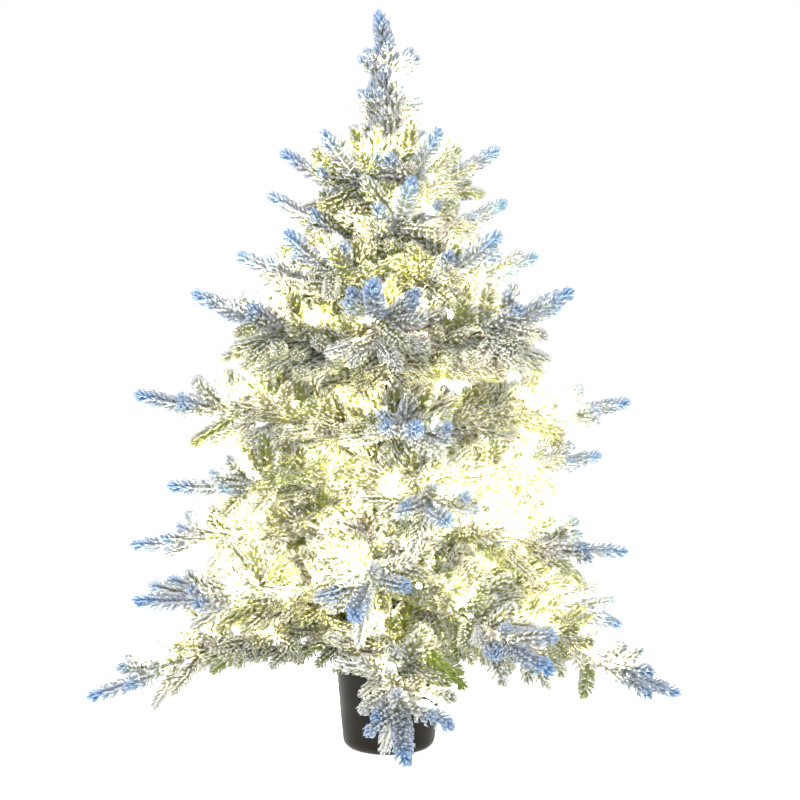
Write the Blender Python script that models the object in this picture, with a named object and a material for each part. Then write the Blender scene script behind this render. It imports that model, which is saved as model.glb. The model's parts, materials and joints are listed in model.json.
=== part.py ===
"""Artificial tabletop tree: weighted pot, lift-out pole, five tiers of hinged branches and a fixed top.

Metres, +Z up, origin at the middle of the pot's underside. The front of the tree faces -Y.
"""
import math

import bmesh
import bpy
from mathutils import Matrix, Vector

FIT_GAP = 0.0003
WELD = 0.000001

# pot, ballast and the socket that takes the pole
POT_HEIGHT = 0.130
POT_TOP_RADIUS = 0.067
POT_FOOT_RADIUS = 0.057
POT_CORNER = 0.012
POT_WALL = 0.0025
POT_SIDES = 32
BALLAST_BELOW_RIM = 0.008
SOCKET_WALL = 0.0017
SOCKET_FLOOR = 0.003
SOCKET_BELOW_RIM = 0.002
ROUND_SIDES = 16

# pole: a tube that carries the hubs, then thinner rods; heights are above the pot's rim
POLE_RADIUS = 0.008
POLE_WALL = 0.0012
ROD_RADIUS = 0.0055
TOP_ROD_RADIUS = 0.003
LEADER_ROD_RADIUS = 0.0018
POLE_TOP = 0.290
ROD_TOP = 0.455
LEADER_ROD_TOP = 0.700
POLE_TAPER = 0.003

# hub: a ring in two halves that closes over the cross pins of its branches
PINS_FROM_POLE = 0.009
HUB_RIM = 0.007
HUB_BASE_HEIGHT = 0.006
HUB_CAP_HEIGHT = 0.005
HUB_SIDES = 20
HUB_SLOT_REACH = 0.022
HINGES_PER_HUB = 4

# branch wire, its cross pin and the clearance around both
STEM_RADIUS = 0.0015
STEM_SIDES = 6
STEM_STEP = 0.048
WIRE_PAST_HUB = 0.003
PIN_RADIUS = 0.0017
PIN_LENGTH = 0.012
PIN_SIDES = 8

# foliage: a backbone tied along each wire, and plump sprigs that grow from it
BACKBONE_WIDTH = 0.006
BACKBONE_HEIGHT = 0.0032
TIE_GAP = 0.0007
BARE_WIRE = 0.060
SPRIG_WIDTH = 0.022
SPRIG_THICKNESS = 0.012
SPRIG_ROOT = 0.008
SPRIG_PITCH = 0.037
SPRIG_MARGIN = 0.022
SPRIG_SPREAD = 48.0
SPRIG_TILTS = (-4.0, 7.0)
# where a sprig is widest and where its end begins to close, and its width there, as shares
SPRIG_WIDEST = 0.36
SPRIG_SHOULDER = 0.82
SHOULDER_SHARE = 0.72
TIP_SHARE = 0.3
SPRIG_LONGEST = 0.074
SPRIG_LONGEST_AT = 0.3
SPRIG_SHORTENS = 0.020
SPRIG_STAGGER = 0.12
TIP_SPRIG = 0.066
UPRIGHT_SPRIG = 0.034
UPRIGHT_WIDTH = 0.009

# (height above the rim, azimuth of the first hinge, rest elevation at the hinge)
# and for each branch its overall length and the elevation at its end
TIERS = [
    (0.010, 4.0, 8.0, ((0.366, -41.0), (0.340, -40.0), (0.367, -39.0), (0.320, -44.0))),
    (0.055, 30.0, 8.0, ((0.360, -36.0), (0.330, -24.0), (0.312, -6.0), (0.330, -26.0))),
    (0.115, -6.0, 12.0, ((0.278, -21.0), (0.290, -24.0), (0.316, -19.0), (0.280, -40.0))),
    (0.180, 15.0, 14.0, ((0.270, 0.0), (0.260, -14.0), (0.256, -16.0), (0.252, -30.0))),
    (0.245, 8.0, 16.0, ((0.296, -2.0), (0.262, -4.0), (0.300, 2.0), (0.242, -14.0))),
]

# whorls tied straight to the rod: name, height above the rim, rod radius there, azimuths,
# arm length, elevation at the rod and at the tip
WHORLS = [
    ("whorl_6", 0.325, ROD_RADIUS, (27, 87, 147, 207, 267, 327), 0.262, 30.0, 12.0),
    ("whorl_7", 0.400, ROD_RADIUS, (21, 93, 165, 237, 309), 0.212, 30.0, 14.0),
    ("whorl_8", 0.470, TOP_ROD_RADIUS, (12, 102, 192, 282), 0.164, 34.0, 18.0),
]
COLLAR_WALL = 0.0035
COLLAR_HEIGHT = 0.010
ARM_BARE = 0.040
ARM_SPRIG = 0.056
ARM_SPRIG_WIDTH = 0.018
ARM_SPRIG_PITCH = 0.033
ARM_SPRIG_TILTS = (-3.0, 6.0)
ARM_SIDE_SHARE = 0.92
ARM_SIDE_SHORTENS = 0.06

# crown: a sleeve over the leader rod, with four small whorls and the leader itself
CROWN_FOOT = 0.515
CROWN_SLEEVE_TOP = 0.715
CROWN_SIDES = 12
CROWN_FIRST_FACE = 27
CROWN_WALL = 0.0022
LEADER_TOP = 0.784
LEADER_SWELL = 1.6
CROWN_SPRIG_SHARE = 0.62
CROWN_SPRIG_ASPECT = 0.30
CROWN_WHORLS = [
    (0.530, (177, 237, 297, 357, 117), 0.150, 36.0, 20.0),
    (0.585, (27, 117, 207, 297), 0.072, 44.0, 36.0),
    (0.642, (57, 177, 297), 0.058, 48.0, 40.0),
    (0.694, (27, 147, 267), 0.052, 52.0, 44.0),
]

# light string: the lead up the pole and the inlet plug at its lower end
LEAD_RADIUS = 0.0015
LEAD_AZIMUTH = 57.0
LEAD_POINTS = 60
INLET_RADIUS = 0.005
INLET_LENGTH = 0.024
INLET_SPIGOT_RADIUS = 0.00275
INLET_SPIGOT_LENGTH = 0.0084
INLET_SHOULDER = 0.0144
INLET_NECK_RADIUS = 0.002
INLET_AXIS_RADIUS = 0.034
INLET_ABOVE_BALLAST = 0.006
# (distance from the pole's axis, height above the rim), a smooth curve goes through them
LEAD_ROUTE = [
    (0.0340, 0.0225), (0.0325, 0.034), (0.0280, 0.046), (0.0275, 0.063), (0.0180, 0.088),
    (0.0275, 0.107), (0.0275, 0.124), (0.0170, 0.150), (0.0275, 0.172), (0.0275, 0.190),
    (0.0170, 0.215), (0.0275, 0.237), (0.0275, 0.255), (0.0150, 0.285), (0.0125, 0.325),
    (0.0100, 0.362), (0.0125, 0.400), (0.0100, 0.436), (0.0100, 0.470), (0.0075, 0.500),
]

GREEN = (0.16, 0.19, 0.09, 1.0)
FROSTED = (0.55, 0.60, 0.60, 1.0)
POT_BROWN = (0.018, 0.014, 0.010, 1.0)
CEMENT = (0.36, 0.35, 0.33, 1.0)
STEEL = (0.42, 0.43, 0.44, 1.0)
TAPED_WIRE = (0.10, 0.12, 0.06, 1.0)
PAINTED_STEEL = (0.05, 0.10, 0.05, 1.0)
HUB_GREEN = (0.04, 0.07, 0.04, 1.0)
WHITE_CABLE = (0.75, 0.76, 0.72, 1.0)


def surface(name, colour, roughness, metallic=0.0):
    """The named Principled material, made once."""
    found = bpy.data.materials.get(name)
    if found:
        return found
    made = bpy.data.materials.new(name)
    made.use_nodes = True
    shader = made.node_tree.nodes["Principled BSDF"]
    shader.inputs["Base Color"].default_value = colour
    shader.inputs["Roughness"].default_value = roughness
    shader.inputs["Metallic"].default_value = metallic
    return made


def add_object(name, bm, material, parent=None):
    """Turn a bmesh into an object of the scene."""
    bmesh.ops.recalc_face_normals(bm, faces=bm.faces)
    mesh = bpy.data.meshes.new(name)
    bm.to_mesh(mesh)
    bm.free()
    mesh.materials.append(material)
    made = bpy.data.objects.new(name, mesh)
    bpy.context.scene.collection.objects.link(made)
    made.parent = parent
    return made


def add_empty(name, parent=None, location=(0.0, 0.0, 0.0), azimuth=0.0):
    """A pivot that pieces hang from, its X axis turned to an azimuth."""
    made = bpy.data.objects.new(name, None)
    bpy.context.scene.collection.objects.link(made)
    made.parent = parent
    made.location = location
    made.rotation_euler.z = math.radians(azimuth)
    return made


def turned(profile, sides):
    """A solid turned about Z from the (radius, height) points of a closed outline."""
    bm = bmesh.new()
    points = [bm.verts.new((radius, 0.0, height)) for radius, height in profile]
    edges = [bm.edges.new(pair) for pair in zip(points, points[1:] + points[:1])]
    on_axis = [edge for edge in edges if max(vert.co.x for vert in edge.verts) < WELD]
    bmesh.ops.delete(bm, geom=on_axis, context="EDGES_FACES")
    kept = bm.verts[:] + bm.edges[:]
    bmesh.ops.spin(
        bm, geom=kept, cent=(0, 0, 0), axis=(0, 0, 1), angle=math.tau, steps=sides, use_merge=True
    )
    bmesh.ops.remove_doubles(bm, verts=bm.verts, dist=WELD)
    return bm


def shade_round(target, angle=40.0):
    """Smooth shading that keeps the edges sharper than an angle."""
    target.data.shade_smooth()
    target.data.set_sharp_from_angle(angle=math.radians(angle))


def cut(target, cutter):
    """Take a cutter out of a target with an exact Boolean."""
    modifier = target.modifiers.new(cutter.name, "BOOLEAN")
    modifier.operation = "DIFFERENCE"
    modifier.solver = "EXACT"
    modifier.object = cutter


def as_guide(target):
    """Mark an object as a tool of the model, which is no piece of the tree."""
    target.hide_render = True
    target.display_type = "WIRE"


def arc_frame(distance, start, rise, length, end, lift=0.0):
    """Where a bending wire is, so far along it: X runs on, Y to the left, Z up out of it.

    The elevation goes evenly from rise to end degrees over the length, in the XZ plane.
    """
    first = math.radians(rise)
    bend = math.radians(end - rise) / length
    here = first + bend * distance
    out = (math.sin(here) - math.sin(first)) / bend
    up = (math.cos(first) - math.cos(here)) / bend
    turn = Matrix.Rotation(-here, 4, "Y")
    return Matrix.Translation(start + Vector((out, 0.0, up))) @ turn @ Matrix.Translation((0, 0, lift))


def push_face(bm, face, frame, width, height):
    """Extrude a four-sided face and lay the new one square across a frame's X axis."""
    grown = bmesh.ops.extrude_discrete_faces(bm, faces=[face])["faces"][0]
    centre = grown.calc_center_median()
    side = frame.col[1].xyz
    up = frame.col[2].xyz
    for vert in grown.verts:
        offset = vert.co - centre
        across = math.copysign(width / 2, offset.dot(side))
        above = math.copysign(height / 2, offset.dot(up))
        vert.co = frame.translation + side * across + up * above
    return grown


def face_near(bm, point):
    """The face whose middle is nearest to a point."""
    return min(bm.faces, key=lambda face: (face.calc_center_median() - point).length)


def grow_sprig(bm, face, frame, length, width):
    """A sprig out of a face along a frame's X axis: widest before the middle, with a blunt end."""
    thickness = min(SPRIG_THICKNESS, width)
    widest = frame @ Matrix.Translation((length * SPRIG_WIDEST, 0, 0))
    shoulder = frame @ Matrix.Translation((length * SPRIG_SHOULDER, 0, 0))
    tip = frame @ Matrix.Translation((length, 0, 0))
    grown = push_face(bm, face, widest, width, thickness)
    grown = push_face(bm, grown, shoulder, width * SHOULDER_SHARE, thickness * SHOULDER_SHARE)
    push_face(bm, grown, tip, width * TIP_SHARE, 0.0)


def grow_backbone(bm, face, at, stations, finish):
    """Extend a face along a wire's frames, with a short length at each station for its sprigs."""
    half = SPRIG_ROOT / 2
    for station in stations:
        face = push_face(bm, face, at(station - half), BACKBONE_WIDTH, BACKBONE_HEIGHT)
        face = push_face(bm, face, at(station + half), BACKBONE_WIDTH, BACKBONE_HEIGHT)
    push_face(bm, face, at(finish), BACKBONE_WIDTH, BACKBONE_HEIGHT)


def grow_side_sprigs(bm, at, station, left_length, right_length, width, tilt):
    """The two sprigs of a station, which sweep forward to the left and right."""
    middle = at(station)
    for hand, length in ((1, left_length), (-1, right_length)):
        root = middle @ Vector((0.0, hand * BACKBONE_WIDTH / 2, 0.0))
        face = face_near(bm, root)
        turn = Matrix.Rotation(math.radians(hand * SPRIG_SPREAD), 4, "Z")
        tip_up = Matrix.Rotation(math.radians(-tilt), 4, "Y")
        frame = Matrix.Translation(root) @ middle.to_3x3().to_4x4() @ turn @ tip_up
        grow_sprig(bm, face, frame, length, width)


def grow_upright_sprig(bm, at, station):
    """One short sprig that leans forward out of the top of the backbone."""
    middle = at(station)
    root = middle @ Vector((0.0, 0.0, BACKBONE_HEIGHT / 2))
    face = face_near(bm, root)
    lean = Matrix.Rotation(math.radians(-SPRIG_SPREAD), 4, "Y")
    frame = Matrix.Translation(root) @ middle.to_3x3().to_4x4() @ lean
    grow_sprig(bm, face, frame, UPRIGHT_SPRIG, UPRIGHT_WIDTH)


def even_stations(first, last, pitch):
    """Places from first to last, as near to a pitch apart as fits evenly."""
    steps = max(1, round((last - first) / pitch))
    return [first + (last - first) * i / steps for i in range(steps + 1)]


def rounded_foot(across, floor, radius):
    """The outline of a turned foot, from its flat underside round to its side."""
    outline = []
    for degrees in (0.0, 30.0, 60.0, 90.0):
        angle = math.radians(degrees)
        outline.append((across - radius * (1 - math.sin(angle)), floor + radius * (1 - math.cos(angle))))
    return outline


def make_pot():
    """The turned plastic pot, a tapered cup with a rounded foot."""
    outside = [(0.0, 0.0), *rounded_foot(POT_FOOT_RADIUS, 0.0, POT_CORNER), (POT_TOP_RADIUS, POT_HEIGHT)]
    inner_foot = rounded_foot(POT_FOOT_RADIUS - POT_WALL, POT_WALL, POT_CORNER - POT_WALL)
    inside = [(POT_TOP_RADIUS - POT_WALL, POT_HEIGHT), *reversed(inner_foot), (0.0, POT_WALL)]
    pot = add_object("pot", turned(outside + inside, POT_SIDES), surface("pot", POT_BROWN, 0.30))
    shade_round(pot)


def make_ballast():
    """The cement cast that fills the pot around the socket."""
    lean = (POT_TOP_RADIUS - POT_FOOT_RADIUS) / (POT_HEIGHT - POT_CORNER)
    inset = POT_WALL + 2 * FIT_GAP
    floor = POT_WALL + FIT_GAP
    top = POT_HEIGHT - BALLAST_BELOW_RIM
    bore = POLE_RADIUS + FIT_GAP + SOCKET_WALL + FIT_GAP
    foot = rounded_foot(POT_FOOT_RADIUS - inset, floor, POT_CORNER - floor)
    profile = [(bore, floor), *foot, (POT_TOP_RADIUS - inset - lean * BALLAST_BELOW_RIM, top), (bore, top)]
    ballast = add_object("ballast", turned(profile, POT_SIDES), surface("cement", CEMENT, 0.9))
    shade_round(ballast)


def make_socket():
    """The steel cup in the ballast that the pole stands in."""
    inside = POLE_RADIUS + FIT_GAP
    outside = inside + SOCKET_WALL
    foot = POT_WALL + FIT_GAP
    top = POT_HEIGHT - SOCKET_BELOW_RIM
    profile = [
        (0.0, foot),
        (outside, foot),
        (outside, top),
        (inside, top),
        (inside, foot + SOCKET_FLOOR),
        (0.0, foot + SOCKET_FLOOR),
    ]
    socket = add_object("pole_socket", turned(profile, ROUND_SIDES), surface("steel", STEEL, 0.4, 1.0))
    shade_round(socket)


def make_pole(trunk):
    """The stepped pole, hollow in its tube and open at its foot."""
    foot = POT_WALL + FIT_GAP + SOCKET_FLOOR + FIT_GAP
    bore = POLE_RADIUS - POLE_WALL
    profile = [
        (bore, foot),
        (POLE_RADIUS, foot),
        (POLE_RADIUS, POT_HEIGHT + POLE_TOP),
        (ROD_RADIUS, POT_HEIGHT + POLE_TOP + POLE_TAPER),
        (ROD_RADIUS, POT_HEIGHT + ROD_TOP),
        (TOP_ROD_RADIUS, POT_HEIGHT + ROD_TOP + POLE_TAPER),
        (TOP_ROD_RADIUS, POT_HEIGHT + CROWN_FOOT - FIT_GAP),
        (LEADER_ROD_RADIUS, POT_HEIGHT + CROWN_FOOT - FIT_GAP),
        (LEADER_ROD_RADIUS, POT_HEIGHT + LEADER_ROD_TOP),
        (0.0, POT_HEIGHT + LEADER_ROD_TOP),
        (0.0, POT_HEIGHT + POLE_TOP - POLE_WALL),
        (bore, POT_HEIGHT + POLE_TOP - POLE_WALL),
    ]
    pole = add_object(
        "pole", turned(profile, ROUND_SIDES), surface("painted_steel", PAINTED_STEEL, 0.45, 0.6), trunk
    )
    shade_round(pole)


def box_at(bm, low, high, frame):
    """A box between two corners, placed by a frame."""
    size = Vector(high) - Vector(low)
    middle = (Vector(high) + Vector(low)) / 2
    place = frame @ Matrix.Translation(middle) @ Matrix.Diagonal((*size, 1.0))
    bmesh.ops.create_cube(bm, size=1.0, matrix=place)


def make_hub(number, height, phase, rise, trunk):
    """A hub's base and cap, with a pocket for each cross pin and a slot for each wire."""
    bore = POLE_RADIUS + FIT_GAP
    pin_circle = POLE_RADIUS + PINS_FROM_POLE
    rim = pin_circle + HUB_RIM
    pocket = PIN_RADIUS + FIT_GAP
    slot = STEM_RADIUS + FIT_GAP
    centre = add_empty(f"hub_{number}_place", trunk, (0.0, 0.0, height), phase)
    pockets = bmesh.new()
    slots = bmesh.new()
    for quarter in range(HINGES_PER_HUB):
        turn = Matrix.Rotation(math.tau * quarter / HINGES_PER_HUB, 4, "Z")
        hinge = turn @ Matrix.Translation((pin_circle, 0.0, 0.0))
        along = PIN_LENGTH / 2 + FIT_GAP
        box_at(pockets, (-pocket, -along, -pocket), (pocket, along, pocket), hinge)
        tilt = Matrix.Rotation(math.radians(-rise), 4, "Y")
        box_at(slots, (-pocket, -slot, -slot), (HUB_SLOT_REACH, slot, HUB_SLOT_REACH), hinge @ tilt)
    cutters = []
    for name, bm in ((f"hub_{number}_pockets", pockets), (f"hub_{number}_slots", slots)):
        cutter = add_object(name, bm, surface("guide", STEEL, 0.5), centre)
        as_guide(cutter)
        cutters.append(cutter)
    halves = {
        f"hub_{number}": (-HUB_BASE_HEIGHT, -FIT_GAP / 2),
        f"hub_cap_{number}": (FIT_GAP / 2, HUB_CAP_HEIGHT),
    }
    for name, (low, high) in halves.items():
        ring = [(bore, low), (rim, low), (rim, high), (bore, high)]
        half = add_object(name, turned(ring, HUB_SIDES), surface("hub_plastic", HUB_GREEN, 0.5), centre)
        for cutter in cutters:
            cut(half, cutter)


def make_stem(name, wire_length, rise, at, hinge):
    """A branch's steel wire with its cross pin, whose middle is the hinge."""
    bm = bmesh.new()
    rings = []
    for distance in [0.0, *even_stations(HUB_RIM + WIRE_PAST_HUB, wire_length, STEM_STEP)]:
        frame = at(distance)
        ring = []
        for corner in range(STEM_SIDES):
            angle = math.tau * (corner + 0.5) / STEM_SIDES
            across = STEM_RADIUS * math.cos(angle)
            above = STEM_RADIUS * math.sin(angle)
            ring.append(bm.verts.new(frame @ Vector((0.0, across, above))))
        rings.append(ring)
    for ring, further in zip(rings, rings[1:]):
        for corner in range(STEM_SIDES):
            after = (corner + 1) % STEM_SIDES
            bm.faces.new((ring[corner], ring[after], further[after], further[corner]))
    bm.faces.new(rings[0][::-1])
    bm.faces.new(rings[-1])
    stem = add_object(name, bm, surface("branch_wire", TAPED_WIRE, 0.7), hinge)
    pin = bmesh.new()
    lie_across = Matrix.Rotation(math.radians(90.0), 4, "X")
    level = Matrix.Rotation(math.radians(-rise), 4, "Y")
    bmesh.ops.create_cone(
        pin,
        cap_ends=True,
        segments=PIN_SIDES,
        radius1=PIN_RADIUS,
        radius2=PIN_RADIUS,
        depth=PIN_LENGTH,
        matrix=level @ lie_across,
    )
    guide = add_object(f"{name}_pin", pin, surface("guide", STEEL, 0.5), hinge)
    as_guide(guide)
    joined = stem.modifiers.new("pin", "BOOLEAN")
    joined.operation = "UNION"
    joined.solver = "EXACT"
    joined.object = guide


def sprig_length(share):
    """A branch's sprigs are longest before its middle and shorten to its end."""
    away = abs(share - SPRIG_LONGEST_AT) / (1 - SPRIG_LONGEST_AT)
    return SPRIG_LONGEST - SPRIG_SHORTENS * away


def make_foliage(name, wire_length, rise, length, end, hinge):
    """The tied-on foliage of one branch: a backbone on the wire, sprigs at both sides and the tip."""
    lift = STEM_RADIUS + TIE_GAP + BACKBONE_HEIGHT / 2

    def at(distance):
        return arc_frame(distance, Vector(), rise, length, end, lift)

    bm = bmesh.new()
    start = at(BARE_WIRE)
    half_width = BACKBONE_WIDTH / 2
    half_height = BACKBONE_HEIGHT / 2
    corners = [(-half_width, -half_height), (half_width, -half_height), (half_width, half_height)]
    corners.append((-half_width, half_height))
    places = [start @ Vector((0.0, y, z)) for y, z in corners]
    face = bm.faces.new([bm.verts.new(place) for place in places])
    stations = even_stations(BARE_WIRE + SPRIG_MARGIN, wire_length - SPRIG_MARGIN, SPRIG_PITCH)
    grow_backbone(bm, face, at, stations, wire_length)
    bm.faces.new([bm.verts.new(place) for place in places])
    bmesh.ops.remove_doubles(bm, verts=bm.verts, dist=WELD)
    end_face = face_near(bm, at(wire_length).translation)
    grow_sprig(bm, end_face, at(wire_length), TIP_SPRIG, SPRIG_WIDTH)
    for count, station in enumerate(stations):
        share = count / (len(stations) - 1)
        left = sprig_length(share)
        right = sprig_length(share + SPRIG_STAGGER)
        grow_side_sprigs(bm, at, station, left, right, SPRIG_WIDTH, SPRIG_TILTS[count % 2])
        if count % 2:
            grow_upright_sprig(bm, at, station)
    bmesh.ops.remove_doubles(bm, verts=bm.verts, dist=WELD)
    add_object(name, bm, surface("foliage", GREEN, 0.8), hinge)


def make_branch(tier, number, height, azimuth, rise, length, end, trunk):
    """One hinged branch: its wire and its foliage on an empty at the hinge."""
    pin_circle = POLE_RADIUS + PINS_FROM_POLE
    angle = math.radians(azimuth)
    place = (pin_circle * math.cos(angle), pin_circle * math.sin(angle), height)
    hinge = add_empty(f"hinge_{tier}_{number}", trunk, place, azimuth)
    wire_length = length - TIP_SPRIG

    def at(distance):
        return arc_frame(distance, Vector(), rise, length, end)

    make_stem(f"stem_{tier}_{number}", wire_length, rise, at, hinge)
    make_foliage(f"foliage_{tier}_{number}", wire_length, rise, length, end, hinge)


def prism_rows(bm, sides, first_face, outline):
    """The side rows of a prism about Z through the (radius, height) points of an outline.

    A face of each row is centred on the first azimuth. Returns the loops of vertices.
    """
    half = math.pi / sides
    loops = []
    for radius, height in outline:
        loop = []
        for corner in range(sides):
            angle = math.radians(first_face) + half * (2 * corner - 1)
            loop.append(bm.verts.new((radius * math.cos(angle), radius * math.sin(angle), height)))
        loops.append(loop)
    for loop, following in zip(loops, loops[1:]):
        for corner in range(sides):
            after = (corner + 1) % sides
            bm.faces.new((loop[corner], loop[after], following[after], following[corner]))
    return loops


def grow_arm(bm, azimuth, radius, height, length, rise, end, sprig, width):
    """An arm out of a sleeve's side: backbone, side sprigs and a tip sprig."""
    turn = Matrix.Rotation(math.radians(azimuth), 4, "Z")

    def at(distance):
        return turn @ arc_frame(distance, Vector((radius, 0.0, height)), rise, length, end)

    face = face_near(bm, at(0.0).translation)
    backbone_end = length - sprig
    if backbone_end > ARM_BARE + SPRIG_ROOT:
        stations = even_stations(ARM_BARE, backbone_end - SPRIG_ROOT, ARM_SPRIG_PITCH)
    else:
        stations = [backbone_end - SPRIG_ROOT]
    grow_backbone(bm, face, at, stations, backbone_end)
    tip_face = face_near(bm, at(backbone_end).translation)
    grow_sprig(bm, tip_face, at(backbone_end), sprig, width)
    for count, station in enumerate(stations):
        side = sprig * (ARM_SIDE_SHARE - ARM_SIDE_SHORTENS * count)
        grow_side_sprigs(bm, at, station, side, side, width, ARM_SPRIG_TILTS[count % 2])


def make_whorl(name, height, rod, azimuths, length, rise, end, trunk):
    """A ring of arms tied to the rod, fixed in place."""
    sides = 2 * len(azimuths)
    inside = (rod + FIT_GAP) / math.cos(math.pi / sides)
    outside = rod + COLLAR_WALL
    middle = BACKBONE_HEIGHT / 2
    foot = -COLLAR_HEIGHT / 2
    bm = bmesh.new()
    outline = [(inside, -foot), (inside, foot), (outside, foot)]
    outline += [(outside, -middle), (outside, middle), (outside, -foot), (inside, -foot)]
    prism_rows(bm, sides, azimuths[0], outline)
    bmesh.ops.remove_doubles(bm, verts=bm.verts, dist=WELD)
    apothem = outside * math.cos(math.pi / sides)
    for azimuth in azimuths:
        grow_arm(bm, azimuth, apothem, 0.0, length, rise, end, ARM_SPRIG, ARM_SPRIG_WIDTH)
    bmesh.ops.remove_doubles(bm, verts=bm.verts, dist=WELD)
    whorl = add_object(name, bm, surface("frosted_foliage", FROSTED, 0.8), trunk)
    whorl.location.z = height


def make_crown(trunk):
    """The sleeve over the leader rod with its small whorls, and the leader as its closed top."""
    inside = (LEADER_ROD_RADIUS + FIT_GAP) / math.cos(math.pi / CROWN_SIDES)
    outside = inside + CROWN_WALL
    middle = BACKBONE_HEIGHT / 2
    outline = [(inside, LEADER_ROD_TOP + FIT_GAP), (inside, CROWN_FOOT), (outside, CROWN_FOOT)]
    for height, _azimuths, _length, _rise, _end in CROWN_WHORLS:
        outline += [(outside, height - middle), (outside, height + middle)]
    outline.append((outside, CROWN_SLEEVE_TOP))
    outline.append((outside * LEADER_SWELL, (CROWN_SLEEVE_TOP + LEADER_TOP) / 2))
    bm = bmesh.new()
    loops = prism_rows(bm, CROWN_SIDES, CROWN_FIRST_FACE, outline)
    bm.faces.new(loops[0])
    tip = bm.verts.new((0.0, 0.0, LEADER_TOP))
    for corner, vert in enumerate(loops[-1]):
        bm.faces.new((vert, loops[-1][(corner + 1) % CROWN_SIDES], tip))
    apothem = outside * math.cos(math.pi / CROWN_SIDES)
    for height, azimuths, length, rise, end in CROWN_WHORLS:
        sprig = min(ARM_SPRIG, length * CROWN_SPRIG_SHARE)
        width = min(ARM_SPRIG_WIDTH, sprig * CROWN_SPRIG_ASPECT)
        for azimuth in azimuths:
            grow_arm(bm, azimuth, apothem, height, length, rise, end, sprig, width)
    bmesh.ops.remove_doubles(bm, verts=bm.verts, dist=WELD)
    crown = add_object("crown", bm, surface("frosted_foliage", FROSTED, 0.8), trunk)
    crown.location.z = POT_HEIGHT


def smooth_route(points, count):
    """Points evenly spread in number along a Catmull-Rom curve through the given ones."""
    spans = len(points) - 1
    route = []
    for index in range(count):
        position = spans * index / (count - 1)
        span = min(int(position), spans - 1)
        t = position - span
        p0 = points[max(span - 1, 0)]
        p1 = points[span]
        p2 = points[span + 1]
        p3 = points[min(span + 2, spans)]
        route.append(
            0.5 * (2 * p1 + (p2 - p0) * t + (2 * p0 - 5 * p1 + 4 * p2 - p3) * t**2)
            + 0.5 * (3 * p1 - p0 - 3 * p2 + p3) * t**3
        )
    return route


def make_light_string(trunk):
    """The lead that climbs the pole past the hubs, and the inlet plug at its lower end."""
    angle = math.radians(LEAD_AZIMUTH)
    outward = Vector((math.cos(angle), math.sin(angle), 0.0))
    inlet_foot = POT_HEIGHT - BALLAST_BELOW_RIM + INLET_ABOVE_BALLAST
    profile = [
        (0.0, 0.0),
        (INLET_SPIGOT_RADIUS, 0.0),
        (INLET_SPIGOT_RADIUS, INLET_SPIGOT_LENGTH),
        (INLET_RADIUS, INLET_SPIGOT_LENGTH),
        (INLET_RADIUS, INLET_SHOULDER),
        (INLET_NECK_RADIUS, INLET_LENGTH),
        (0.0, INLET_LENGTH),
    ]
    inlet = add_object("inlet_plug", turned(profile, ROUND_SIDES), surface("cable", WHITE_CABLE, 0.5), trunk)
    inlet.location = outward * INLET_AXIS_RADIUS + Vector((0.0, 0.0, inlet_foot))
    shade_round(inlet)
    points = [outward * away + Vector((0.0, 0.0, POT_HEIGHT + height)) for away, height in LEAD_ROUTE]
    points[0] = inlet.location + Vector((0.0, 0.0, INLET_LENGTH + FIT_GAP))
    curve = bpy.data.curves.new("light_lead", "CURVE")
    curve.dimensions = "3D"
    curve.bevel_depth = LEAD_RADIUS
    curve.bevel_resolution = 2
    curve.use_fill_caps = True
    spline = curve.splines.new("POLY")
    spline.points.add(LEAD_POINTS - 1)
    for knot, place in zip(spline.points, smooth_route(points, LEAD_POINTS)):
        knot.co = (*place, 1.0)
    curve.materials.append(surface("cable", WHITE_CABLE, 0.5))
    lead = bpy.data.objects.new("light_lead", curve)
    bpy.context.scene.collection.objects.link(lead)
    lead.parent = trunk


def main():
    for old in list(bpy.data.objects):
        bpy.data.objects.remove(old)
    make_pot()
    make_ballast()
    make_socket()
    trunk = add_empty("trunk")
    make_pole(trunk)
    for tier, (above_rim, phase, rise, branches) in enumerate(TIERS, start=1):
        height = POT_HEIGHT + above_rim
        make_hub(tier, height, phase, rise, trunk)
        for number, (length, end) in enumerate(branches, start=1):
            azimuth = phase + 360.0 * (number - 1) / HINGES_PER_HUB
            make_branch(tier, number, height, azimuth, rise, length, end, trunk)
    for name, above_rim, rod, azimuths, length, rise, end in WHORLS:
        make_whorl(name, POT_HEIGHT + above_rim, rod, azimuths, length, rise, end, trunk)
    make_crown(trunk)
    make_light_string(trunk)


main()
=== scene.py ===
import json
import math
import random

import bpy
from mathutils import Matrix, Vector


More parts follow.
